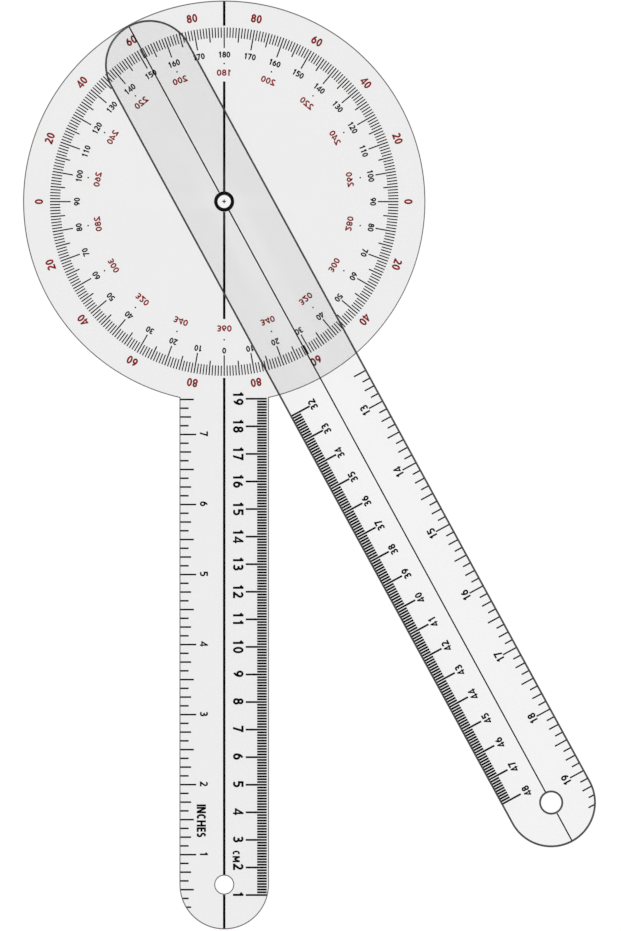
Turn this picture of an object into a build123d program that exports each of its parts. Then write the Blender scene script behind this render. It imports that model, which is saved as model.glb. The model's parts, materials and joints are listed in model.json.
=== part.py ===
from build123d import *
import os

# Round-head goniometer: a clear sheet with a 360 degree protractor head and a fixed arm,
# and a clear moving arm that turns on a hollow eyelet through the middle of the head.
# The frame has its origin on the pivot axis, at the plane that the eyelet's rolled end rests on.
# +Z is the printed side, and the fixed arm points along -Y. All sizes are in millimetres.

# Protractor sheet: the round head and the fixed arm are one piece of sheet
head_radius = 73.0
fixed_arm_width = 32.5
fixed_arm_reach = 264.0
fixed_hanging_hole_radius = 3.25
fixed_sheet_thickness = 1.2
fixed_edge_chamfer = 0.3

# Moving arm, which reaches past the pivot on both sides
moving_arm_width = 32.5
moving_arm_reach = 264.3
moving_tail_reach = 72.7
moving_hanging_hole_radius = 3.65
moving_sheet_thickness = 1.5
moving_edge_round = 0.6
rest_angle = 28.55

# Hollow pivot eyelet: domed head on top, thin barrel, end rolled outwards underneath,
# with a straight-sided groove inside the roll
eyelet_bore_radius = 2.4
eyelet_wall = 0.3
head_flange_width = 0.95
head_rim_height = 0.15
head_crown_height = 0.35
roll_inner_radius = 0.2
roll_lip_rise = 0.05

# Washers round the barrel
clinch_washer_thickness = 0.4
clinch_washer_margin = 0.2
clinch_washer_chamfer = 0.1
friction_washer_thickness = 0.25
friction_washer_inset = 0.15

# Clear sight window in the eyelet's bore
window_thickness = 0.8
window_recess = 0.2
window_edge_chamfer = 0.08

# Clearances
seat_clearance = 0.02
turning_clearance = 0.06
slide_clearance = 0.03

# Radii that follow from the eyelet
barrel_radius = eyelet_bore_radius + eyelet_wall
head_flange_radius = barrel_radius + head_flange_width
roll_centre_radius = barrel_radius + roll_inner_radius
roll_outer_radius = roll_inner_radius + eyelet_wall
seat_hole_radius = barrel_radius + seat_clearance
turning_hole_radius = barrel_radius + turning_clearance

# Heights of the pivot's stack, from the resting plane up
clinch_washer_z = roll_outer_radius + roll_lip_rise
protractor_z = clinch_washer_z + clinch_washer_thickness
friction_washer_z = protractor_z + fixed_sheet_thickness
moving_arm_z = friction_washer_z + friction_washer_thickness + slide_clearance
head_z = moving_arm_z + moving_sheet_thickness + slide_clearance
rim_top_z = head_z + head_rim_height
crown_z = rim_top_z + head_crown_height

# The most of a sheet's thickness that one worked edge may take
largest_edge_share = 0.45


def rounded_sheet(outline, thickness, edge_round):
    """A sheet of that outline with its edges rounded over, above and below."""
    sheet = extrude(outline, thickness)
    rims = sheet.edges().filter_by(Plane.XY)
    return fillet(rims, min(edge_round, thickness * largest_edge_share))


def chamfered_sheet(outline, thickness, edge_chamfer):
    """A sheet of that outline with its edges broken by a chamfer, above and below."""
    sheet = extrude(outline, thickness)
    rims = sheet.edges().filter_by(Plane.XY)
    return chamfer(rims, min(edge_chamfer, thickness * largest_edge_share))


def arm_outline(width, reach, tail):
    """A strip along Y with two round ends: one reach below the pivot and one tail above it."""
    end_centre = -(reach - width / 2)
    tail_centre = tail - width / 2
    strip = SlotCenterToCenter(tail_centre - end_centre, width, rotation=90)
    return Pos(0, (tail_centre + end_centre) / 2) * strip


def through_hole(radius, height, y=0.0):
    """A cutter on the arm's centre line, from the sheet's underside to its top."""
    return Pos(0, y) * extrude(Circle(radius), height)


def hanging_hole(radius, width, reach, height):
    """The hole that an arm hangs by, on the centre of its round end."""
    return through_hole(radius, height, -(reach - width / 2))


def ring(outer_radius, inner_radius, thickness):
    """A flat washer, standing on its own zero height."""
    return extrude(Circle(outer_radius) - Circle(inner_radius), thickness)


def protractor_arm():
    """Round head and fixed arm in one sheet, held to the eyelet at the pivot."""
    head = chamfered_sheet(Circle(head_radius), fixed_sheet_thickness, fixed_edge_chamfer)
    outline = arm_outline(fixed_arm_width, fixed_arm_reach, fixed_arm_width / 2)
    sheet = head + chamfered_sheet(outline, fixed_sheet_thickness, fixed_edge_chamfer)
    sheet -= through_hole(seat_hole_radius, fixed_sheet_thickness)
    sheet -= hanging_hole(
        fixed_hanging_hole_radius,
        fixed_arm_width,
        fixed_arm_reach,
        fixed_sheet_thickness,
    )
    return Pos(0, 0, protractor_z) * sheet


def moving_arm():
    """The long arm with its short tail, turned to the angle at which it is stored."""
    outline = arm_outline(moving_arm_width, moving_arm_reach, moving_tail_reach)
    arm = rounded_sheet(outline, moving_sheet_thickness, moving_edge_round)
    arm -= through_hole(turning_hole_radius, moving_sheet_thickness)
    arm -= hanging_hole(
        moving_hanging_hole_radius,
        moving_arm_width,
        moving_arm_reach,
        moving_sheet_thickness,
    )
    return Pos(0, 0, moving_arm_z) * Rot(0, 0, rest_angle) * arm


def pivot_eyelet():
    """Hollow eyelet, turned from its half section: rolled end, barrel and domed head."""
    roll_tip = roll_centre_radius + roll_outer_radius
    lip_inner = roll_centre_radius + roll_inner_radius
    crown_radius = (eyelet_bore_radius + head_flange_radius) / 2
    section = Curve() + [
        CenterArc((roll_centre_radius, roll_outer_radius), roll_outer_radius, 180, 180),
        Line((roll_tip, roll_outer_radius), (roll_tip, clinch_washer_z)),
        Line((roll_tip, clinch_washer_z), (lip_inner, clinch_washer_z)),
        Line((lip_inner, clinch_washer_z), (lip_inner, roll_outer_radius)),
        Line((lip_inner, roll_outer_radius), (roll_centre_radius, eyelet_wall)),
        Line((roll_centre_radius, eyelet_wall), (barrel_radius, roll_outer_radius)),
        Line((barrel_radius, roll_outer_radius), (barrel_radius, head_z)),
        Line((barrel_radius, head_z), (head_flange_radius, head_z)),
        Line((head_flange_radius, head_z), (head_flange_radius, rim_top_z)),
        ThreePointArc(
            (head_flange_radius, rim_top_z),
            (crown_radius, crown_z),
            (eyelet_bore_radius, rim_top_z),
        ),
        Line((eyelet_bore_radius, rim_top_z), (eyelet_bore_radius, roll_outer_radius)),
    ]
    return revolve(Plane.XZ * make_face(section), Axis.Z)


def clinch_washer():
    """Washer between the rolled end and the protractor sheet, which spreads the clinch."""
    outer_radius = roll_centre_radius + roll_outer_radius + clinch_washer_margin
    washer = ring(outer_radius, seat_hole_radius, clinch_washer_thickness)
    rims = washer.edges().filter_by(GeomType.CIRCLE).group_by(SortBy.RADIUS)[-1]
    washer = chamfer(rims, min(clinch_washer_chamfer, clinch_washer_thickness * largest_edge_share))
    return Pos(0, 0, clinch_washer_z) * washer


def friction_washer():
    """Thin washer between the two sheets, which keeps them apart and holds the set angle."""
    outer_radius = head_flange_radius - friction_washer_inset
    washer = ring(outer_radius, seat_hole_radius, friction_washer_thickness)
    return Pos(0, 0, friction_washer_z) * washer


def sight_window():
    """Clear disc in the eyelet's bore, just below the rim of the head."""
    disc = extrude(Circle(eyelet_bore_radius - seat_clearance), window_thickness)
    disc = chamfer(disc.edges().filter_by(GeomType.CIRCLE), window_edge_chamfer)
    return Pos(0, 0, rim_top_z - window_recess - window_thickness) * disc


sub_parts = {
    "protractor_arm": protractor_arm,
    "moving_arm": moving_arm,
    "pivot_eyelet": pivot_eyelet,
    "clinch_washer": clinch_washer,
    "friction_washer": friction_washer,
    "sight_window": sight_window,
}

os.makedirs("parts", exist_ok=True)
for name, make in sub_parts.items():
    solid = make()
    solid.label = name
    export_step(solid, f"parts/{name}.step")
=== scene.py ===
import json
import math

import bpy
import numpy as np
from mathutils.geometry import delaunay_2d_cdt, tessellate_polygon
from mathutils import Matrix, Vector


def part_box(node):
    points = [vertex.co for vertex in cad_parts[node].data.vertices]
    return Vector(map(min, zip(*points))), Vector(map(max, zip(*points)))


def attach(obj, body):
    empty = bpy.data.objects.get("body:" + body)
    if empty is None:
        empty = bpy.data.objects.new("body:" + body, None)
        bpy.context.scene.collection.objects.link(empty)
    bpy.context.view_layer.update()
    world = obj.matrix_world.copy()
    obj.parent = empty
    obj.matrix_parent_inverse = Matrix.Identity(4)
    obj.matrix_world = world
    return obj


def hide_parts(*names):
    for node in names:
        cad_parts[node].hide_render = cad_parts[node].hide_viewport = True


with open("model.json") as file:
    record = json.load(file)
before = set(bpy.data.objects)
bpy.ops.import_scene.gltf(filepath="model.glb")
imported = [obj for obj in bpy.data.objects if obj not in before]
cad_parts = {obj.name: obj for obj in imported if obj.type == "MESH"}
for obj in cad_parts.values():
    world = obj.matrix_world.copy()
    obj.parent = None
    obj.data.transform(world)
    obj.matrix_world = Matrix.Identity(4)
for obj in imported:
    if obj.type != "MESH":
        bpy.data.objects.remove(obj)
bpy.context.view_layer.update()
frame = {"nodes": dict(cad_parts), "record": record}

# Round-head goniometer: two clear sheets that turn on a hollow eyelet, with printed scales.
# Sizes are in millimetres and become metres where a mesh is made. The sheets' heights, the round
# head's radius and the arms' reaches are read from the CAD model. The other sizes of the sheets and
# the eyelet repeat its values, but for the sheets' worked edges, which are a little rounder here.
MM = 0.001
ORIGIN = np.zeros(2)

ARM_HALF_WIDTH = 16.25
FIXED_HOLE_RADIUS = 3.25
FIXED_SEAT_RADIUS = 2.72
FIXED_EDGE_ROUND = 0.38
MOVING_HOLE_RADIUS = 3.65
MOVING_SEAT_RADIUS = 2.76
MOVING_EDGE_ROUND = 0.7
SEAT_EDGE_ROUND = 0.05

# The eyelet, with its heights above the plane that it rests on
EYELET_BORE_RADIUS = 2.4
EYELET_WALL = 0.3
ROLL_INNER_RADIUS = 0.2
ROLL_LIP_TOP = 0.55
HEAD_RADIUS = 3.65
HEAD_UNDERSIDE = 3.96
HEAD_RIM_TOP = 4.11
HEAD_CROWN = 4.46

# The print is a film of ink that stands this much proud of the sheet and is keyed this deep into it
INK_PROUD = 0.03
INK_KEY = 0.005

# How many straight steps each curve is drawn with
DIAL_STEPS = 540
ARM_END_STEPS = 120
HANGING_HOLE_STEPS = 96
SEAT_STEPS = 72
FIXED_EDGE_STEPS = 5
MOVING_EDGE_STEPS = 8
SEAT_EDGE_STEPS = 2
EYELET_TURN_STEPS = 128
ROLL_OUTSIDE_STEPS = 24
ROLL_INSIDE_STEPS = 16
ROUNDING_STEPS = 4
CROWN_STEPS = 20
DOT_STEPS = 12


def box_mm(name):
    """A CAD node's lowest and highest corners, in millimetres."""
    low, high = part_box(name)
    return np.array(low) / MM, np.array(high) / MM


fixed_low, fixed_high = box_mm("protractor_arm")
moving_low, moving_high = box_mm("moving_arm")
window_low, window_high = box_mm("sight_window")
DIAL_RADIUS = fixed_high[0]
FIXED_REACH = -fixed_low[1]
FIXED_END = FIXED_REACH - ARM_HALF_WIDTH

# The moving arm's own frame has its long end along -Y; the record's mount says how far that is turned
MOUNTS = {mount["name"]: mount for mount in frame["record"]["mounts"]}
HOLE_X, HOLE_Y, _ = MOUNTS["moving_arm_hanging_hole"]["pos_m"]
REST_TURN = math.atan2(HOLE_X, -HOLE_Y)
MOVING_END = math.hypot(HOLE_X, HOLE_Y) / MM
MOVING_REACH = MOVING_END + ARM_HALF_WIDTH
MOVING_TAIL = 72.7


# Camera, light and floor

# The photograph looks straight down on the printed side. Its frame takes in 337.6 mm from top to
# bottom, measured by the printed scales, and its middle is 31.3 mm right of the pivot and 95.7 mm
# below it. The lens is long, so that the two sheets keep one scale.
VIEW_CENTRE = (31.3, -95.7)
VIEW_HEIGHT = 337.6
VIEW_LEVEL = 2.6
LENS = 200.0
SENSOR = 36.0

camera_data = bpy.data.cameras.new("camera")
camera_data.type = "PERSP"
camera_data.lens = LENS
camera_data.sensor_width = SENSOR
camera_data.clip_start = 0.05
camera_data.clip_end = 50.0
camera = bpy.data.objects.new("camera", camera_data)
camera.location = (
    VIEW_CENTRE[0] * MM,
    VIEW_CENTRE[1] * MM,
    (VIEW_LEVEL + VIEW_HEIGHT * LENS / SENSOR) * MM,
)
bpy.context.scene.collection.objects.link(camera)
bpy.context.scene.camera = camera
bpy.context.scene.view_settings.view_transform = "Standard"


def linear(code):
    """A colour given as sRGB hex, such as "#7F7F7F", as a socket's linear red, green, blue and alpha."""
    parts = np.array([int(code[i : i + 2], 16) for i in (1, 3, 5)]) / 255
    parts = np.where(parts <= 0.04045, parts / 12.92, ((parts + 0.055) / 1.055) ** 2.4)
    return (*parts.tolist(), 1.0)


def add(tree, kind, sockets=None, **settings):
    """Adds a node. Settings are its own properties. Sockets, by name or number, get a value or a link."""
    made = tree.nodes.new(kind)
    for name, value in settings.items():
        setattr(made, name, value)
    for key, value in (sockets or {}).items():
        if isinstance(value, bpy.types.NodeSocket):
            tree.links.new(value, made.inputs[key])
        else:
            made.inputs[key].default_value = value
    return made


def new_material(name):
    """An empty node material and its tree."""
    material = bpy.data.materials.new(name)
    material.use_nodes = True
    material.node_tree.nodes.clear()
    return material, material.node_tree


# Studio: an even white surround that darkens straight overhead, where the camera stands
world = bpy.data.worlds.new("studio")
world.use_nodes = True
world.node_tree.nodes.clear()
sky = world.node_tree
direction = add(sky, "ShaderNodeTexCoord")
upward = add(sky, "ShaderNodeSeparateXYZ", {0: direction.outputs["Generated"]})
overhead = add(
    sky,
    "ShaderNodeMapRange",
    {"Value": upward.outputs["Z"], "From Min": 0.93, "From Max": 0.985, "To Min": 0.0, "To Max": 1.0},
    interpolation_type="SMOOTHSTEP",
)
surround = add(
    sky,
    "ShaderNodeMix",
    {0: overhead.outputs[0], 6: linear("#FFFFFF"), 7: linear("#303030")},
    data_type="RGBA",
)
glow = add(sky, "ShaderNodeBackground", {"Color": surround.outputs[2], "Strength": 0.9})
add(sky, "ShaderNodeOutputWorld", {"Surface": glow.outputs[0]})
bpy.context.scene.world = world

# A wide soft lamp from the upper left, and a weaker one from the right: places, sizes and target
# in metres, power in watts
LAMP_TARGET = np.array([0.03, -0.09, 0.0])
for name, place, power, size in (
    ("key_light", (-0.9, 0.7, 1.0), 6.0, 0.8),
    ("fill_light", (1.1, -0.6, 0.9), 2.5, 0.8),
):
    lamp_data = bpy.data.lights.new(name, "AREA")
    lamp_data.energy = power
    lamp_data.size = size
    lamp = bpy.data.objects.new(name, lamp_data)
    lamp.location = place
    aim = LAMP_TARGET - np.array(place)
    lamp.rotation_euler = (
        math.atan2(math.hypot(aim[0], aim[1]), -aim[2]),
        0.0,
        math.atan2(aim[1], aim[0]) - math.pi / 2,
    )
    bpy.context.scene.collection.objects.link(lamp)

# The floor is a light table, as clear plastic is photographed: a matt white panel, lit from below,
# 6 m wide
FLOOR_HALF = 3.0
floor_material, tree = new_material("matt_white_light_table")
panel = add(
    tree,
    "ShaderNodeBsdfPrincipled",
    {
        "Base Color": linear("#404040"),
        "Roughness": 0.9,
        "Specular IOR Level": 0.1,
        "Emission Color": linear("#FFFFFF"),
        "Emission Strength": 0.965,
    },
)
add(tree, "ShaderNodeOutputMaterial", {"Surface": panel.outputs[0]})
floor_mesh = bpy.data.meshes.new("floor")
floor_corners = [(x * FLOOR_HALF, y * FLOOR_HALF, 0) for x, y in ((-1, -1), (1, -1), (1, 1), (-1, 1))]
floor_mesh.from_pydata(floor_corners, [], [(0, 1, 2, 3)])
floor_mesh.materials.append(floor_material)
floor = bpy.data.objects.new("floor", floor_mesh)
bpy.context.scene.collection.objects.link(floor)


# Materials

# The clear sheets' tint drifts over this distance
DRIFT_MM = 40.0


def see_through(name, pass_high, pass_low, mirror, gloss, scuff_mm):
    """A clear plastic surface. Each surface passes the light by a tint and mirrors it by the rule
    mirror + (1 - mirror) * (1 - cosine of the angle off head-on) ^ 5. The tint drifts between two
    near colours over a few centimetres. Scuffs of the given size, drawn out eight times in one
    direction, vary the gloss."""
    material, tree = new_material(name)
    place = add(tree, "ShaderNodeTexCoord")
    drift = add(
        tree,
        "ShaderNodeTexNoise",
        {"Vector": place.outputs["Object"], "Scale": 1 / (DRIFT_MM * MM), "Detail": 2.0, "Roughness": 0.5},
    )
    tint = add(
        tree,
        "ShaderNodeMix",
        {0: drift.outputs["Fac"], 6: linear(pass_low), 7: linear(pass_high)},
        data_type="RGBA",
    )
    film = add(tree, "ShaderNodeBsdfTransparent", {"Color": tint.outputs[2]})
    stretch = add(
        tree,
        "ShaderNodeMapping",
        {"Vector": place.outputs["Object"], "Scale": (1.0, 0.12, 1.0), "Rotation": (0.0, 0.0, 0.5)},
    )
    scuffs = add(
        tree,
        "ShaderNodeTexNoise",
        {"Vector": stretch.outputs[0], "Scale": 1 / (scuff_mm * MM), "Detail": 3.0, "Roughness": 0.6},
    )
    rough = add(
        tree,
        "ShaderNodeMapRange",
        {
            "Value": scuffs.outputs["Fac"],
            "From Min": 0.4,
            "From Max": 0.75,
            "To Min": gloss[0],
            "To Max": gloss[1],
        },
    )
    shine = add(tree, "ShaderNodeBsdfGlossy", {"Color": linear("#FFFFFF"), "Roughness": rough.outputs[0]})
    weight = add(tree, "ShaderNodeLayerWeight", {"Blend": 0.5})
    steep = add(tree, "ShaderNodeMath", {0: weight.outputs["Facing"], 1: 5.0}, operation="POWER")
    share = add(
        tree,
        "ShaderNodeMath",
        {0: steep.outputs[0], 1: 1.0 - mirror, 2: mirror},
        operation="MULTIPLY_ADD",
    )
    mixed = add(tree, "ShaderNodeMixShader", {0: share.outputs[0], 1: film.outputs[0], 2: shine.outputs[0]})
    add(tree, "ShaderNodeOutputMaterial", {"Surface": mixed.outputs[0]})
    return material


def coated(name, light, dark, roughness, specular, grain_mm, bump_mm):
    """A solid coat or film. Grain of the given size mixes two near colours, varies the roughness
    between its two values and raises the surface by the bump's height."""
    material, tree = new_material(name)
    place = add(tree, "ShaderNodeTexCoord")
    grain = add(
        tree,
        "ShaderNodeTexNoise",
        {"Vector": place.outputs["Object"], "Scale": 1 / (grain_mm * MM), "Detail": 3.0, "Roughness": 0.6},
    )
    shade = add(
        tree,
        "ShaderNodeMix",
        {0: grain.outputs["Fac"], 6: linear(dark), 7: linear(light)},
        data_type="RGBA",
    )
    rough = add(
        tree,
        "ShaderNodeMapRange",
        {
            "Value": grain.outputs["Fac"],
            "From Min": 0.3,
            "From Max": 0.7,
            "To Min": roughness[0],
            "To Max": roughness[1],
        },
    )
    relief = add(
        tree,
        "ShaderNodeBump",
        {"Height": grain.outputs["Fac"], "Distance": bump_mm * MM, "Strength": 0.6},
    )
    body = add(
        tree,
        "ShaderNodeBsdfPrincipled",
        {
            "Base Color": shade.outputs[2],
            "Roughness": rough.outputs[0],
            "Specular IOR Level": specular,
            "Normal": relief.outputs[0],
        },
    )
    add(tree, "ShaderNodeOutputMaterial", {"Surface": body.outputs[0]})
    return material


# Clear vinyl sheet, pressed between polished plates: nearly colourless, a faint grey cast, hard gloss.
# Its index of refraction, 1.54, would mirror 0.045 of the light head-on. About half of that matches
# the photograph, which shows no glare.
fixed_sheet_clear = see_through(
    "press_polished_clear_vinyl", "#F8F8F8", "#F7F7F7", 0.02, (0.02, 0.06), 2.0
)
moving_sheet_clear = see_through(
    "press_polished_clear_vinyl_arm", "#FBFBFB", "#FAFAFA", 0.02, (0.02, 0.06), 2.0
)
# The same vinyl at its cut edge: the edge turns the light aside, so it looks like a grey line. That grey is
# painted shade in the edge's tint, and it is darker on the moving arm's rounder edge
fixed_edge_painted_shade = see_through("die_cut_vinyl_edge_thin_painted_shade", "#9C9C9C", "#949494", 0.04, (0.25, 0.4), 0.6)
moving_edge_painted_shade = see_through("die_cut_vinyl_edge_rounded_painted_shade", "#7A7A7A", "#727272", 0.04, (0.25, 0.4), 0.6)
# Moulded clear resin of the sight disc: clearer than the sheets
sight_clear = see_through("moulded_clear_resin", "#FEFEFE", "#FDFDFD", 0.02, (0.02, 0.05), 1.0)
# Thin nylon washer, punched from film: milky and satin
washer_nylon = see_through("punched_natural_nylon_film", "#E4E4E0", "#DEDEDA", 0.08, (0.3, 0.45), 0.4)
# Screen-printed vinyl inks: dense and matt, with the mesh's faint mottle, 0.15 mm
black_print = coated(
    "screen_printed_black_vinyl_ink", "#060606", "#020202", (0.5, 0.65), 0.03, 0.15, 0.002
)
red_print = coated("screen_printed_red_vinyl_ink", "#8C1A18", "#741412", (0.5, 0.65), 0.05, 0.15, 0.002)
# Lacquered steel of the eyelet and its washer: pressed, rolled, then black
eyelet_lacquer = coated("black_lacquered_rolled_steel", "#060606", "#020202", (0.3, 0.42), 0.08, 0.4, 0.003)
washer_lacquer = coated(
    "black_lacquered_punched_steel", "#0A0A0A", "#040404", (0.45, 0.6), 0.1, 0.4, 0.004
)


# Surfaces

SHARP_DEGREES = 35


def make_piece(name, points, faces, body, materials, face_material=None, smooth=None):
    """Puts points in millimetres and faces into a mesh in metres, and rides it on its body.
    Smooth faces stay sharp where they meet at more than SHARP_DEGREES."""
    mesh = bpy.data.meshes.new(name)
    mesh.from_pydata((np.asarray(points) * MM).tolist(), [], faces)
    for material in materials:
        mesh.materials.append(material)
    if face_material is not None:
        mesh.polygons.foreach_set("material_index", np.asarray(face_material, dtype=np.int32))
    if smooth is not None:
        mesh.polygons.foreach_set("use_smooth", np.asarray(smooth, dtype=bool))
        mesh.set_sharp_from_angle(angle=math.radians(SHARP_DEGREES))
    mesh.update()
    piece = bpy.data.objects.new(name, mesh)
    bpy.context.scene.collection.objects.link(piece)
    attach(piece, body)
    return piece


def mitres(path, closed):
    """How a side line leaves each point of a path: the sum of the right-hand unit normals of the two
    steps that meet there, over one plus their dot product. An open path's end has its own step's normal."""
    steps = np.roll(path, -1, axis=0) - path
    normals = np.column_stack([steps[:, 1], -steps[:, 0]]) / np.linalg.norm(steps, axis=1)[:, None]
    if closed:
        before, after = np.roll(normals, 1, axis=0), normals
    else:
        before = np.vstack([normals[:1], normals[:-1]])
        after = np.vstack([normals[:-1], normals[-2:-1]])
    return (before + after) / (1 + (before * after).sum(axis=1))[:, None]


def arc(centre, radius, first, last, steps):
    """Points on a circle round a centre, from one angle to another in degrees."""
    turn = np.radians(np.linspace(first, last, steps + 1))
    return np.array(centre) + radius * np.column_stack([np.cos(turn), np.sin(turn)])


def hole(centre, radius, steps):
    """A round hole's rim, clockwise, so that the sheet lies on its left."""
    return arc(centre, radius, 360, 0, steps)[:-1]


def dial_outline():
    """The round head with the fixed arm, anticlockwise: the head's circle from where it meets the
    arm's right side to its left side, the arm's left side, its round end and its right side."""
    meet = math.degrees(math.asin(ARM_HALF_WIDTH / DIAL_RADIUS))
    head = arc(ORIGIN, DIAL_RADIUS, -90 + meet, 270 - meet, DIAL_STEPS)
    end = arc((0, -FIXED_END), ARM_HALF_WIDTH, 180, 360, ARM_END_STEPS)
    return np.vstack([head, end])


def strip_outline(reach, tail):
    """The moving arm, anticlockwise: two half circles joined by straight sides."""
    long_end = arc((0, ARM_HALF_WIDTH - reach), ARM_HALF_WIDTH, 180, 360, ARM_END_STEPS)
    short_end = arc((0, tail - ARM_HALF_WIDTH), ARM_HALF_WIDTH, 0, 180, ARM_END_STEPS)
    return np.vstack([long_end, short_end])


def round_edge(thickness, radius, steps):
    """A sheet's edge in section, from its top face to its underside: a quarter circle, a straight
    wall and a quarter circle. Columns are the distance in from the outline and the height."""
    turn = np.linspace(0, math.pi / 2, steps + 1)
    inset = radius * (1 - np.sin(turn))
    drop = radius * (1 - np.cos(turn))
    top = np.column_stack([inset, thickness - drop])
    return np.vstack([top, np.column_stack([inset[::-1], drop[::-1]])])


def make_sheet(name, loops, low, turn, body, materials):
    """A flat sheet with worked edges. Each loop is an outline and its edge's section: the point
    (u, v) of an edge is the outline's point u, moved inwards by the section's inset v along the
    mitre there, at the section's height v. The two flat faces are triangles between the edges' first
    rows and between their last rows. The whole is turned about the pivot and lifted."""
    points, faces, starts = [], [], 0
    top_rims, top_index, low_index = [], [], []
    for outline, section in loops:
        count, rows = len(outline), len(section)
        out = mitres(outline, closed=True)
        ring = outline[None] - section[:, :1, None] * out[None]
        height = np.broadcast_to(section[:, 1, None, None], (rows, count, 1))
        points.append(np.concatenate([ring, height], axis=2).reshape(-1, 3))
        index = starts + np.arange(rows * count).reshape(rows, count)
        ahead = np.roll(index, -1, axis=1)
        faces.append(np.stack([index[1:], ahead[1:], ahead[:-1], index[:-1]], axis=2).reshape(-1, 4))
        top_rims.append(np.column_stack([ring[0], np.zeros(count)]).tolist())
        top_index.append(index[0])
        low_index.append(index[-1])
        starts += rows * count
    points = np.vstack(points)
    triangles = np.array(tessellate_polygon(top_rims))
    corners = np.vstack(top_rims)[triangles][:, :, :2]
    first, second = corners[:, 1] - corners[:, 0], corners[:, 2] - corners[:, 0]
    downward = first[:, 0] * second[:, 1] - first[:, 1] * second[:, 0] < 0
    triangles[downward] = triangles[downward][:, ::-1]
    top = np.concatenate(top_index)[triangles]
    underside = np.concatenate(low_index)[triangles][:, ::-1]
    edge = np.vstack(faces)
    cos, sin = math.cos(turn), math.sin(turn)
    points = points @ np.array([[cos, sin, 0], [-sin, cos, 0], [0, 0, 1]]) + [0, 0, low]
    # The worked edges take each sheet's second material, whose grey tint is painted shade
    is_edge = np.arange(len(edge) + 2 * len(top)) < len(edge)
    return make_piece(
        name,
        points,
        edge.tolist() + top.tolist() + underside.tolist(),
        body,
        materials,
        face_material=is_edge,
        smooth=is_edge,
    )


def make_turned(name, section, steps, body, materials):
    """A turned piece: the closed section's point u, at its radius and height, at the turn v about
    the pivot's axis. The section runs anticlockwise, so the surface faces out."""
    turn = np.linspace(0, 2 * math.pi, steps, endpoint=False)
    radius, height = section[:, 0], section[:, 1]
    points = np.stack(
        [
            np.cos(turn)[:, None] * radius,
            np.sin(turn)[:, None] * radius,
            np.broadcast_to(height, (steps, len(height))),
        ],
        axis=2,
    )
    index = np.arange(steps * len(section)).reshape(steps, len(section))
    ahead = np.roll(index, -1, axis=0)
    faces = np.stack([index, ahead, np.roll(ahead, -1, axis=1), np.roll(index, -1, axis=1)], axis=2)
    faces = faces.reshape(-1, 4)
    return make_piece(
        name, points.reshape(-1, 3), faces.tolist(), body, materials, smooth=np.ones(len(faces))
    )


# Sheets and eyelet

thickness = fixed_high[2] - fixed_low[2]
outer_edge = round_edge(thickness, FIXED_EDGE_ROUND, FIXED_EDGE_STEPS)
seat_edge = round_edge(thickness, SEAT_EDGE_ROUND, SEAT_EDGE_STEPS)
fixed_sheet = make_sheet(
    "protractor_sheet",
    [
        (dial_outline(), outer_edge),
        (hole(ORIGIN, FIXED_SEAT_RADIUS, SEAT_STEPS), seat_edge),
        (hole((0, -FIXED_END), FIXED_HOLE_RADIUS, HANGING_HOLE_STEPS), outer_edge),
    ],
    fixed_low[2],
    0.0,
    "protractor_body",
    [fixed_sheet_clear, fixed_edge_painted_shade],
)
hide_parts("protractor_arm")

thickness = moving_high[2] - moving_low[2]
outer_edge = round_edge(thickness, MOVING_EDGE_ROUND, MOVING_EDGE_STEPS)
seat_edge = round_edge(thickness, SEAT_EDGE_ROUND, SEAT_EDGE_STEPS)
moving_sheet = make_sheet(
    "moving_sheet",
    [
        (strip_outline(MOVING_REACH, MOVING_TAIL), outer_edge),
        (hole(ORIGIN, MOVING_SEAT_RADIUS, SEAT_STEPS), seat_edge),
        (hole((0, -MOVING_END), MOVING_HOLE_RADIUS, HANGING_HOLE_STEPS), outer_edge),
    ],
    moving_low[2],
    REST_TURN,
    "swing_arm",
    [moving_sheet_clear, moving_edge_painted_shade],
)
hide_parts("moving_arm")

# The eyelet in section, anticlockwise: the roll's outside, its lip, its round inside, the barrel's
# outside, the head's underside and rim, the crown, and the bore back down. The crown is an arc of
# radius (half width squared + rise squared) / (2 * rise). LIP and RIM round the sharp corners.
BARREL_RADIUS = EYELET_BORE_RADIUS + EYELET_WALL
ROLL_OUTER_RADIUS = ROLL_INNER_RADIUS + EYELET_WALL
ROLL_CENTRE = (BARREL_RADIUS + ROLL_INNER_RADIUS, ROLL_OUTER_RADIUS)
LIP = 0.06
RIM = 0.04
roll_tip = ROLL_CENTRE[0] + ROLL_OUTER_RADIUS
lip_inner = ROLL_CENTRE[0] + ROLL_INNER_RADIUS
crown_middle = (EYELET_BORE_RADIUS + HEAD_RADIUS) / 2
crown_half = (HEAD_RADIUS - EYELET_BORE_RADIUS) / 2
crown_rise = HEAD_CROWN - HEAD_RIM_TOP
crown_radius = (crown_half**2 + crown_rise**2) / (2 * crown_rise)
crown_spread = math.degrees(math.asin(crown_half / crown_radius))
eyelet_section = np.vstack(
    [
        arc(ROLL_CENTRE, ROLL_OUTER_RADIUS, 180, 360, ROLL_OUTSIDE_STEPS),
        arc((roll_tip - LIP, ROLL_LIP_TOP - LIP), LIP, 0, 90, ROUNDING_STEPS),
        arc((lip_inner + LIP, ROLL_LIP_TOP - LIP), LIP, 90, 180, ROUNDING_STEPS),
        arc(ROLL_CENTRE, ROLL_INNER_RADIUS, 360, 180, ROLL_INSIDE_STEPS)[1:],
        [[BARREL_RADIUS, HEAD_UNDERSIDE]],
        arc((HEAD_RADIUS - RIM, HEAD_UNDERSIDE + RIM), RIM, -90, 0, ROUNDING_STEPS),
        arc(
            (crown_middle, HEAD_CROWN - crown_radius),
            crown_radius,
            90 - crown_spread,
            90 + crown_spread,
            CROWN_STEPS,
        ),
    ]
)
eyelet = make_turned(
    "pivot_eyelet_black",
    eyelet_section,
    EYELET_TURN_STEPS,
    "protractor_body",
    [eyelet_lacquer],
)
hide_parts("pivot_eyelet")

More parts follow.
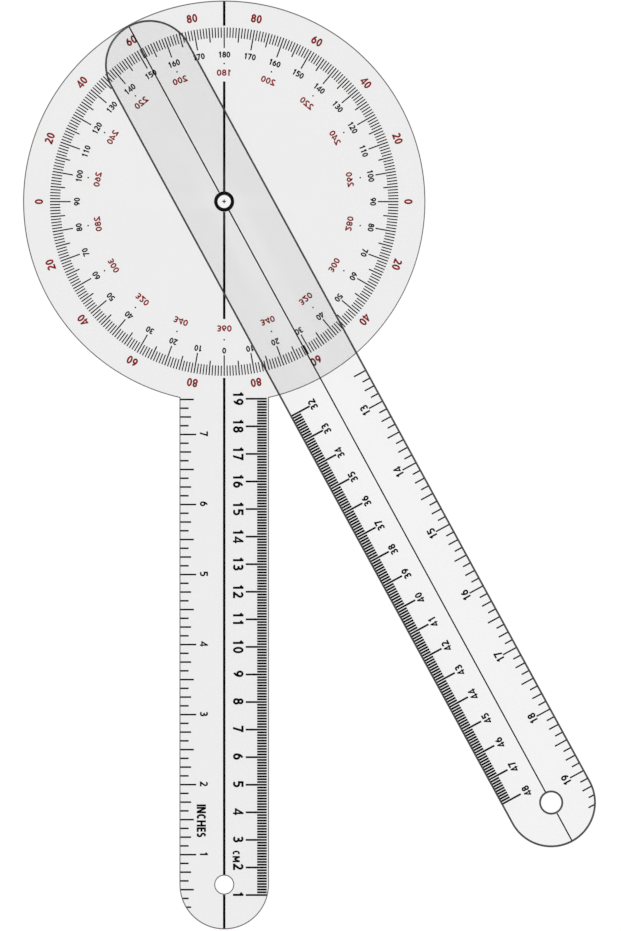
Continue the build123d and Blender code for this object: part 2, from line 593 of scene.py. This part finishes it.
for node, material in (
    ("clinch_washer", washer_lacquer),
    ("friction_washer", washer_nylon),
    ("sight_window", sight_clear),
):
    for material_slot in frame["nodes"][node].material_slots:
        material_slot.material = material


# Numerals and letters

# Every sign is one unit high. Its strokes' middle lines lie in a box that is half a stroke smaller
# all round, where u and v run from 0 to 1.
#   arc:  middle u, v, half width, half height, first and last angle in degrees
#   line: u, v to u, v, with ends square to it
#   post: u at the foot, u at the top, and the heights of its level ends, of the whole sign's height
#   bar:  the shares of the sign's width where it starts and ends, and v
SIGNS = {
    "0": [("arc", 0.5, 0.5, 0.5, 0.5, 0, 360)],
    "1": [("post", 0.62, 0.62, 0, 1), ("line", 0.62, 0.98, 0.1, 0.76)],
    "2": [("arc", 0.46, 0.73, 0.46, 0.27, 160, -38), ("line", 0.822, 0.564, 0.05, 0.02), ("bar", 0, 1, 0)],
    "3": [
        ("arc", 0.44, 0.765, 0.46, 0.235, 155, -90),
        ("arc", 0.46, 0.265, 0.54, 0.265, 90, -148),
        ("line", 0.2, 0.53, 0.46, 0.53),
    ],
    "4": [("post", 0.84, 0.84, 0, 1), ("line", 0.78, 0.98, 0.0, 0.24), ("bar", -0.04, 1.04, 0.21)],
    "5": [("bar", 0.13, 0.94, 1), ("post", 0.05, 0.1, 0.47, 1), ("arc", 0.42, 0.3, 0.58, 0.3, 125, -135)],
    "6": [("arc", 0.5, 0.305, 0.5, 0.305, 0, 360), ("arc", 1.02, 0.305, 1.02, 0.695, 180, 104)],
    "7": [("bar", 0, 1, 1), ("post", 0.28, 1, 0, 1)],
    "8": [("arc", 0.5, 0.765, 0.43, 0.235, 0, 360), ("arc", 0.5, 0.265, 0.5, 0.265, 0, 360)],
    "C": [("arc", 0.56, 0.5, 0.56, 0.5, 48, 312)],
    "E": [("post", 0, 0, 0, 1), ("bar", 0, 1, 0), ("bar", 0, 0.94, 0.52), ("bar", 0, 1, 1)],
    "H": [("post", 0, 0, 0, 1), ("post", 1, 1, 0, 1), ("bar", 0, 1, 0.53)],
    "I": [("post", 0.5, 0.5, 0, 1)],
    "M": [("post", 0, 0, 0, 1), ("post", 1, 1, 0, 1), ("post", 0.5, 0, 0.22, 1), ("post", 0.5, 1, 0.22, 1)],
    "N": [("post", 0, 0, 0, 1), ("post", 1, 1, 0, 1), ("post", 1, 0, 0, 1)],
    "S": [("arc", 0.5, 0.755, 0.47, 0.245, 38, 270), ("arc", 0.47, 0.255, 0.53, 0.255, 90, -145)],
}
LETTER_WIDTHS = {"C": 0.62, "E": 0.5, "H": 0.68, "I": 0.17, "M": 0.86, "N": 0.7, "S": 0.52}
DEGREES_PER_STEP = 15
# The four is drawn lighter than the rest, which keeps it open
SIGN_WEIGHTS = {"4": 0.8}


def merged(points, faces):
    """The union of flat faces as one flat shape: its points, its triangles, and its border's steps,
    which are the triangles' sides that no other triangle shares, with the shape on their left."""
    points, _, triangles, _, _, owners = delaunay_2d_cdt(points.tolist(), [], faces, 0, 1e-5)
    points = np.array([tuple(point) for point in points])
    triangles = np.array([triangle for triangle, owner in zip(triangles, owners) if owner])
    sides = triangles[:, [0, 1, 1, 2, 2, 0]].reshape(-1, 2)
    there, back = sides @ [len(points), 1], sides @ [1, len(points)]
    return points, triangles, sides[~np.isin(there, back)]


def sign_shape(sign, width, weight):
    """A numeral or letter as a flat shape: the union of its strokes. A stroke is a ribbon between two
    side lines, half the weight to each side of its middle line. An arc's side lines are ellipses
    whose half width and half height are that much larger and smaller. A post's side lines stand
    off level, by half the weight over the sideways part of its unit normal. A nine is a six turned
    half round."""
    if sign == "9":
        points, triangles, border = sign_shape("6", width, weight)
        return np.array([width, 1]) - points, triangles, border
    weight *= SIGN_WEIGHTS.get(sign, 1)
    half, box = weight / 2, np.array([width - weight, 1 - weight])
    points, faces, start = [], [], 0
    for kind, *at in SIGNS[sign]:
        closed = kind == "arc" and abs(at[5] - at[4]) == 360
        if kind == "arc":
            steps = round(abs(at[5] - at[4]) / DEGREES_PER_STEP)
            turn = np.radians(np.linspace(at[4], at[5], steps + 1))[: steps if closed else None]
            spoke = np.column_stack([np.cos(turn), np.sin(turn)])
            path = half + box * (np.array(at[:2]) + at[2:4] * spoke)
            side = half * np.sign(at[5] - at[4]) * spoke
        elif kind == "line":
            path = half + box * np.array(at).reshape(2, 2)
        elif kind == "post":
            path = np.column_stack([half + box[0] * np.array(at[:2]), at[2:]])
        else:
            path = np.column_stack([width * np.array(at[:2]), [half + box[1] * at[2]] * 2])
        if kind != "arc":
            side = half * mitres(path, closed)
        if kind == "post":
            side = np.column_stack([half / side[:, :1] * half, [0, 0]])
        points += [path + side, path - side]
        count = len(path)
        index = np.arange(count if closed else count - 1)
        ahead = (index + 1) % count
        ribbon = np.column_stack([index, ahead, count + ahead, count + index]) + start
        faces += ribbon.tolist()
        start += 2 * count
    return merged(np.vstack(points), faces)


def stamped(shape, across, up, origins):
    """Copies of a flat shape: the point (x, y) of copy k is origin k, plus x times its across vector
    and y times its up vector. A mirrored copy's triangles and border run the other way round."""
    points, triangles, border = shape
    placed = origins[:, None] + points[:, :1] * across[:, None] + points[:, 1:] * up[:, None]
    mirrored = (across[:, 0] * up[:, 1] < across[:, 1] * up[:, 0])[:, None, None]
    start = np.arange(len(origins))[:, None, None] * len(points)
    triangles = np.where(mirrored, triangles[:, ::-1], triangles) + start
    border = np.where(mirrored, border[:, ::-1], border) + start
    return placed.reshape(-1, 2), triangles.reshape(-1, 3), border.reshape(-1, 2)


BAR_SHAPE = (
    np.array([[-0.5, 0], [0.5, 0], [0.5, 1], [-0.5, 1]]),
    np.array([[0, 1, 2], [0, 2, 3]]),
    np.array([[0, 1], [1, 2], [2, 3], [3, 0]]),
)
DOT_SHAPE = merged(arc(ORIGIN, 0.5, 0, 360, DOT_STEPS)[:-1], [list(range(DOT_STEPS))])


def bars(starts, ends, widths):
    """Straight strokes from each start to each end, of the given widths."""
    along = ends - starts
    across = np.column_stack([along[:, 1], -along[:, 0]]) / np.linalg.norm(along, axis=1)[:, None]
    return stamped(BAR_SHAPE, across * np.broadcast_to(widths, len(starts))[:, None], along, starts)


def labels(texts, centres, tops, height, width=0.6, pitch=0.75, weight=0.17, mirrored=False):
    """Numbers or words as flat shapes. Each text is centred on its place with its tops the given
    way. Width, pitch and weight are shares of the height, and the pitch less the width is the gap
    between signs. Letters have their own widths."""
    placed = {}
    for text, centre, top in zip(texts, centres, tops):
        widths = np.array([LETTER_WIDTHS.get(sign, width) for sign in text])
        steps = widths + pitch - width
        starts = np.cumsum(steps) - steps - (steps.sum() - pitch + width) / 2
        reading = np.array([top[1], -top[0]]) * (-1 if mirrored else 1)
        for sign, sign_width, start in zip(text, widths, starts):
            origin = centre + height * (start * reading - 0.5 * top)
            placed.setdefault((sign, sign_width), []).append((height * reading, height * top, origin))
    return [
        stamped(sign_shape(sign, width, weight), *np.array(places).transpose(1, 0, 2))
        for (sign, width), places in placed.items()
    ]


def make_print(name, shapes, level, turn, body, material):
    """One colour of print: the flat shapes, turned about the pivot, as films that stand proud of the
    level, with a top, an underside and walls along their borders."""
    points, triangles, borders, start = [], [], [], 0
    for flat, faces, border in shapes:
        points.append(flat)
        triangles.append(faces + start)
        borders.append(border + start)
        start += len(flat)
    cos, sin = math.cos(turn), math.sin(turn)
    flat = np.vstack(points) @ np.array([[cos, sin], [-sin, cos]])
    triangles, borders = np.vstack(triangles), np.vstack(borders)
    heights = np.repeat([level - INK_KEY, level + INK_PROUD], start)
    films = np.column_stack([np.vstack([flat, flat]), heights])
    walls = np.column_stack([borders, borders[:, ::-1] + start])
    faces = triangles[:, ::-1].tolist() + (triangles + start).tolist() + walls.tolist()
    return make_piece(name, films, faces, body, [material])


# Lettering of each row of numbers and words: the height in millimetres, then shares of it
RING_LETTERING = {"height": 2.25, "width": 0.635, "pitch": 0.667, "weight": 0.22}
REVERSE_LETTERING = {"height": 2.35, "width": 0.72, "pitch": 0.79, "weight": 0.22, "mirrored": True}
EDGE_LETTERING = {"height": 3.1, "width": 0.6, "pitch": 0.66, "weight": 0.21}
FIXED_CM_LETTERING = {"height": 3.85, "width": 0.618, "pitch": 0.72, "weight": 0.208}
FIXED_INCH_LETTERING = {"height": 2.95, "width": 0.617, "weight": 0.205}
INCHES_LETTERING = {"height": 3.35, "pitch": 0.67, "weight": 0.22}
CM_LETTERING = {"height": 2.65, "pitch": 0.72, "weight": 0.23}
MOVING_CM_LETTERING = {"height": 2.8, "width": 0.63, "pitch": 0.715, "weight": 0.22}
MOVING_INCH_LETTERING = {"height": 3.0, "width": 0.617, "pitch": 0.65, "weight": 0.21}


# Print on the protractor sheet


def print_fixed(name, shapes, material=black_print):
    """Print on the protractor sheet's top face."""
    return make_print(name, shapes, fixed_high[2], 0.0, "protractor_body", material)


def print_moving(name, shapes):
    """Black print on the moving arm's top face, given in the arm's own frame."""
    return make_print(name, shapes, moving_high[2], REST_TURN, "swing_arm", black_print)


def outward(degrees):
    """Unit vectors from the pivot, for angles that start at the fixed arm and go up its right side."""
    turn = np.radians(degrees)
    return np.column_stack([np.sin(turn), -np.cos(turn)])


def down_middle(distances):
    """Points on an arm's middle line, at distances from the pivot towards its long end."""
    return np.column_stack([np.zeros(len(distances)), -np.asarray(distances, dtype=float)])


def both_sides(degrees):
    """The angles on the right side and, but for 0 and 180, the same on the left."""
    return list(degrees) + [-angle for angle in degrees if angle not in (0, 180)]


def flat_half_width(distances, reach, worked):
    """How far the flat face goes to each side of an arm's middle line, at distances from the pivot:
    the half width less the worked edge, and past the end's centre the root of its square less the
    square of the distance past."""
    past = np.maximum(distances - (reach - ARM_HALF_WIDTH), 0)
    return np.sqrt((ARM_HALF_WIDTH - worked) ** 2 - past**2)


# Ring of degree ticks: outer radius, inner radius for every 10, 5 and 1 degrees, and widths
TICK_RING_RADIUS = 63.2
TEN_TICK_INNER, FIVE_TICK_INNER, ONE_TICK_INNER = 55.7, 57.9, 59.45
FIVE_TICK_WIDTH, ONE_TICK_WIDTH = 0.46, 0.42
whole = np.arange(360)
tens, fives = whole % 10 == 0, whole % 5 == 0
inner = np.where(tens, TEN_TICK_INNER, np.where(fives, FIVE_TICK_INNER, ONE_TICK_INNER))[:, None]
widths = np.where(fives, FIVE_TICK_WIDTH, ONE_TICK_WIDTH)
print_fixed("degree_ticks", [bars(outward(whole) * inner, outward(whole) * TICK_RING_RADIUS, widths)])

# The rings of numbers are printed a little off round: each number stands further out by the part
# of its ring's offset that points its way
RING_NUMBERS_OFF = np.array([0.3, -0.35])
RED_OFF = np.array([-0.2, 0.4])
RING_NUMBER_RADIUS = 53.7
DOT_RADIUS, DOT_SIZE = 50.1, 0.6
REVERSE_NUMBER_RADIUS = 46.4
EDGE_NUMBER_RADIUS = 67.0
angles = both_sides(range(0, 181, 10))
tops = outward(angles)
texts = [str(abs(angle)) for angle in angles]
places = tops * (RING_NUMBER_RADIUS + tops @ RING_NUMBERS_OFF)[:, None]
print_fixed("degree_numbers", labels(texts, places, tops, **RING_LETTERING))
angles = both_sides(range(0, 181, 20))
tops = outward(angles)
size = np.tile([DOT_SIZE, 0.0], (len(angles), 1))
print_fixed("degree_dots", [stamped(DOT_SHAPE, size, size[:, ::-1], tops * DOT_RADIUS)])

# Red numbers that read from behind: 180 at the top to 360 at the fixed arm
texts = [str(360 - abs(angle)) for angle in angles]
places = tops * (REVERSE_NUMBER_RADIUS + tops @ RED_OFF)[:, None]
numbers = labels(texts, places, tops, **REVERSE_LETTERING)
print_fixed("reverse_degree_numbers", numbers, red_print)
# Red numbers round the edge: degrees from straight across
angles = both_sides(range(10, 171, 20))
tops = outward(angles)
texts = [str(abs(90 - abs(angle))) for angle in angles]
places = tops * (EDGE_NUMBER_RADIUS + tops @ RED_OFF)[:, None]
numbers = labels(texts, places, tops, **EDGE_LETTERING)
print_fixed("edge_degree_numbers", numbers, red_print)

# Middle line of the head and the fixed arm, from the top down, broken at the ring of ticks and
# numbers above and below the pivot, at the eyelet and at the hanging hole
EYELET_CLEAR = 3.75
UPPER_GAP_OUTER, UPPER_GAP_INNER = 63.8, 43.6
LOWER_GAP_INNER, LOWER_GAP_OUTER = 42.6, 63.9
FIXED_LINE_WIDTH = 0.9
FIXED_HOLE_CLEAR = FIXED_HOLE_RADIUS + FIXED_EDGE_ROUND
line_ends = [
    (FIXED_EDGE_ROUND - DIAL_RADIUS, -UPPER_GAP_OUTER),
    (-UPPER_GAP_INNER, -EYELET_CLEAR),
    (EYELET_CLEAR, LOWER_GAP_INNER),
    (LOWER_GAP_OUTER, FIXED_END - FIXED_HOLE_CLEAR),
    (FIXED_END + FIXED_HOLE_CLEAR, FIXED_REACH - FIXED_EDGE_ROUND),
]
line_starts, line_stops = np.array(line_ends).T
print_fixed("fixed_arm_line", [bars(down_middle(line_starts), down_middle(line_stops), FIXED_LINE_WIDTH)])

# Centimetre scale on the fixed arm's right edge: 19 beside the head to 1 at the end. Its zero is
# this far from the pivot, and its ticks stop short of the edge
FIXED_CM_ZERO = 261.5
CM_TICK_INNER, MM_TICK_INNER, FIXED_TICK_OUTER = 7.8, 11.94, 15.45
CM_TICK_WIDTH, MM_TICK_WIDTH = 0.68, 0.7
FIXED_CM_NUMBER_X = 5.1
FIXED_NUMBER_RISE = 0.25
MOST_LABELS = 40
millimetres = np.arange(10, 191)
distances = FIXED_CM_ZERO - millimetres
is_cm = millimetres % 10 == 0
inner = np.column_stack([np.where(is_cm, CM_TICK_INNER, MM_TICK_INNER), -distances])
outer = np.column_stack([np.full(len(distances), FIXED_TICK_OUTER), -distances])
print_fixed("fixed_cm_ticks", [bars(inner, outer, np.where(is_cm, CM_TICK_WIDTH, MM_TICK_WIDTH))])
numbers = np.arange(1, 20)
heights = 10.0 * numbers - FIXED_CM_ZERO + FIXED_NUMBER_RISE
places = np.column_stack([np.full(len(numbers), FIXED_CM_NUMBER_X), heights])
TO_RIGHT = np.tile([1.0, 0.0], (MOST_LABELS, 1))
print_fixed("fixed_cm_numbers", labels(map(str, numbers), places, TO_RIGHT, **FIXED_CM_LETTERING))

# Inch scale on its left edge, from 1/4 to 7 1/2 in eighths, with its zero this far from the pivot
# and tick lengths for 1, 1/2, 1/4 and 1/8 inch
INCH = 25.4
FIXED_INCH_ZERO = 262.25
FIXED_INCH_TICKS = [6.1, 5.25, 4.26, 3.35]
FIXED_INCH_TICK_WIDTH = 0.6
FIXED_INCH_NUMBER_X = -7.35


def eighth_lengths(eighths, lengths):
    """Tick lengths for whole, half, quarter and eighth inches."""
    return np.select([eighths % 8 == 0, eighths % 4 == 0, eighths % 2 == 0], lengths[:3], lengths[3])


eighths = np.arange(2, 61)
distances = FIXED_INCH_ZERO - eighths * INCH / 8
edge = flat_half_width(distances, FIXED_REACH, FIXED_EDGE_ROUND)
inner = np.column_stack([eighth_lengths(eighths, FIXED_INCH_TICKS) - ARM_HALF_WIDTH, -distances])
outer = np.column_stack([-edge, -distances])
print_fixed("fixed_inch_ticks", [bars(outer, inner, FIXED_INCH_TICK_WIDTH)])
numbers = np.arange(1, 8)
heights = INCH * numbers - FIXED_INCH_ZERO + FIXED_NUMBER_RISE
places = np.column_stack([np.full(len(numbers), FIXED_INCH_NUMBER_X), heights])
print_fixed("fixed_inch_numbers", labels(map(str, numbers), places, TO_RIGHT, **FIXED_INCH_LETTERING))

# Unit words beside their scales
INCHES_PLACE = np.array([[-8.3, -224.64]])
CM_PLACE = np.array([[4.35, -237.5]])
inches_word = labels(["INCHES"], INCHES_PLACE, TO_RIGHT, **INCHES_LETTERING)
cm_word = labels(["CM"], CM_PLACE, TO_RIGHT, **CM_LETTERING)
print_fixed("fixed_unit_words", inches_word + cm_word)


# Print on the moving arm, in its own frame

MOVING_LINE_WIDTH = 0.5
MOVING_HOLE_CLEAR = MOVING_HOLE_RADIUS + MOVING_EDGE_ROUND
line_ends = [
    (MOVING_EDGE_ROUND - MOVING_TAIL, -EYELET_CLEAR),
    (EYELET_CLEAR, MOVING_END - MOVING_HOLE_CLEAR),
    (MOVING_END + MOVING_HOLE_CLEAR, MOVING_REACH - MOVING_EDGE_ROUND),
]
line_starts, line_stops = np.array(line_ends).T
moving_line = bars(down_middle(line_starts), down_middle(line_stops), MOVING_LINE_WIDTH)
print_moving("moving_arm_line", [moving_line])

# Centimetre scale on its left edge: 32 beside the head to 48 at the end, as if it read 24 at the
# pivot. Its ticks start at the edge, and its row of numbers runs a little askew, nearer the edge
# at 32
MOVING_CM_START = -240.0
MOVING_CM_TICK_LENGTH, MOVING_MM_TICK_LENGTH = 8.05, 4.0
MOVING_CM_TICK_WIDTH, MOVING_MM_TICK_WIDTH = 0.68, 0.72
MOVING_CM_NUMBER_FIRST_X, MOVING_CM_NUMBER_LAST_X = -6.9, -5.8
millimetres = np.arange(320, 481)
distances = MOVING_CM_START + millimetres
is_cm = millimetres % 10 == 0
edge = flat_half_width(distances, MOVING_REACH, MOVING_EDGE_ROUND)
lengths = np.where(is_cm, MOVING_CM_TICK_LENGTH, MOVING_MM_TICK_LENGTH)
widths = np.where(is_cm, MOVING_CM_TICK_WIDTH, MOVING_MM_TICK_WIDTH)
inner = np.column_stack([lengths - ARM_HALF_WIDTH, -distances])
outer = np.column_stack([-edge, -distances])
print_moving("moving_cm_ticks", [bars(outer, inner, widths)])
numbers = np.arange(32, 49)
across = np.linspace(MOVING_CM_NUMBER_FIRST_X, MOVING_CM_NUMBER_LAST_X, len(numbers))
places = np.column_stack([across, -(MOVING_CM_START + 10.0 * numbers)])
TO_LEFT = -TO_RIGHT
print_moving("moving_cm_numbers", labels(map(str, numbers), places, TO_LEFT, **MOVING_CM_LETTERING))

# Inch scale on its right edge, from 12 1/2 to 19 1/2 in eighths, with 13 this far from the pivot
MOVING_INCH_13 = 91.0
MOVING_INCH_TICKS = [6.0, 5.3, 4.3, 3.5]
MOVING_INCH_TICK_WIDTH = 0.54
MOVING_INCH_NUMBER_X = 8.7
eighths = np.arange(100, 157)
distances = MOVING_INCH_13 + (eighths / 8 - 13) * INCH
edge = flat_half_width(distances, MOVING_REACH, MOVING_EDGE_ROUND)
inner = np.column_stack([ARM_HALF_WIDTH - eighth_lengths(eighths, MOVING_INCH_TICKS), -distances])
outer = np.column_stack([edge, -distances])
print_moving("moving_inch_ticks", [bars(inner, outer, MOVING_INCH_TICK_WIDTH)])
numbers = np.arange(13, 20)
distances = MOVING_INCH_13 + (numbers - 13) * INCH
places = np.column_stack([np.full(len(numbers), MOVING_INCH_NUMBER_X), -distances])
print_moving("moving_inch_numbers", labels(map(str, numbers), places, TO_LEFT, **MOVING_INCH_LETTERING))

# Small cross on the sight window
ARM_OF_CROSS = 0.7
CROSS_WIDTH = 0.4
cross_points = np.array([[-ARM_OF_CROSS, 0], [0, -ARM_OF_CROSS]])
strokes = bars(cross_points, -cross_points, CROSS_WIDTH)
cross = merged(strokes[0], [[0, 1, 2, 3], [4, 5, 6, 7]])
make_print("sight_cross", [cross], window_high[2], 0.0, "protractor_body", black_print)
